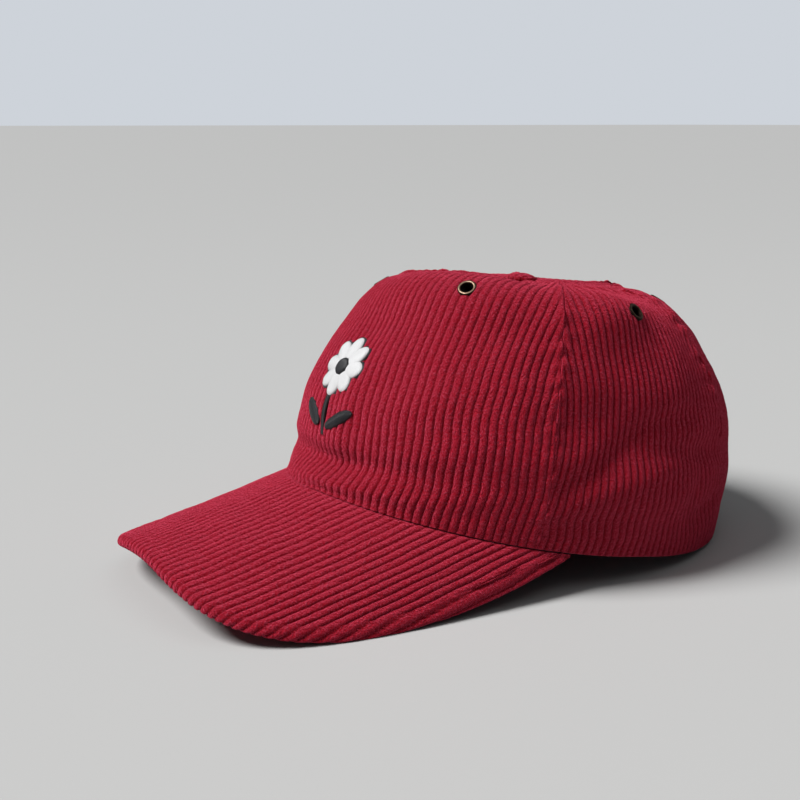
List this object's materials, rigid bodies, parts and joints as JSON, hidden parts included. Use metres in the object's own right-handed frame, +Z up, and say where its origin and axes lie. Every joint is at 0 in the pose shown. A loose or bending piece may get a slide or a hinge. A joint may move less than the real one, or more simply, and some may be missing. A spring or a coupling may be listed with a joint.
{
  "type": "snapback cap",
  "caption": "Soft corduroy cap with panelled crown, curved peak, covered button, brass eyelets and a plastic snap strap; shields the eyes from sun.",
  "frame": {"origin": "on the floor under the middle of the cap's bounding box", "axes": "+Z up, the peak points towards -Y, +X is the wearer's left"},
  "size_m": [0.1668, 0.2758, 0.1212],
  "materials": {
    "corduroy": "wide-wale cotton corduroy, crimson, soft pile",
    "antique_brass": "antique brass, dark in the bore and rubbed bright on the rim",
    "sweatband_cloth": "plain cotton twill",
    "strap_plastic": "soft moulded plastic, satin",
    "white_thread": "satin-stitched embroidery thread, white",
    "dark_thread": "satin-stitched embroidery thread, near-black navy"
  },
  "bodies": {
    "root": {"front_panel": "corduroy", "side_panel_left": "corduroy", "side_panel_right": "corduroy", "back_panel_left": "corduroy", "back_panel_right": "corduroy", "top_button": "corduroy", "eyelet_front_left": "antique_brass", "eyelet_front_right": "antique_brass", "eyelet_side_left": "antique_brass", "eyelet_side_right": "antique_brass", "eyelet_back_left": "antique_brass", "eyelet_back_right": "antique_brass", "sweatband": "sweatband_cloth", "snap_strap": "strap_plastic", "peak_cover": "corduroy", "peak_underside": "corduroy", "embroidered_flower": "white_thread", "embroidered_stem": "dark_thread", "embroidered_leaf_left": "dark_thread", "embroidered_leaf_right": "dark_thread"}
  },
  "joints": []
}
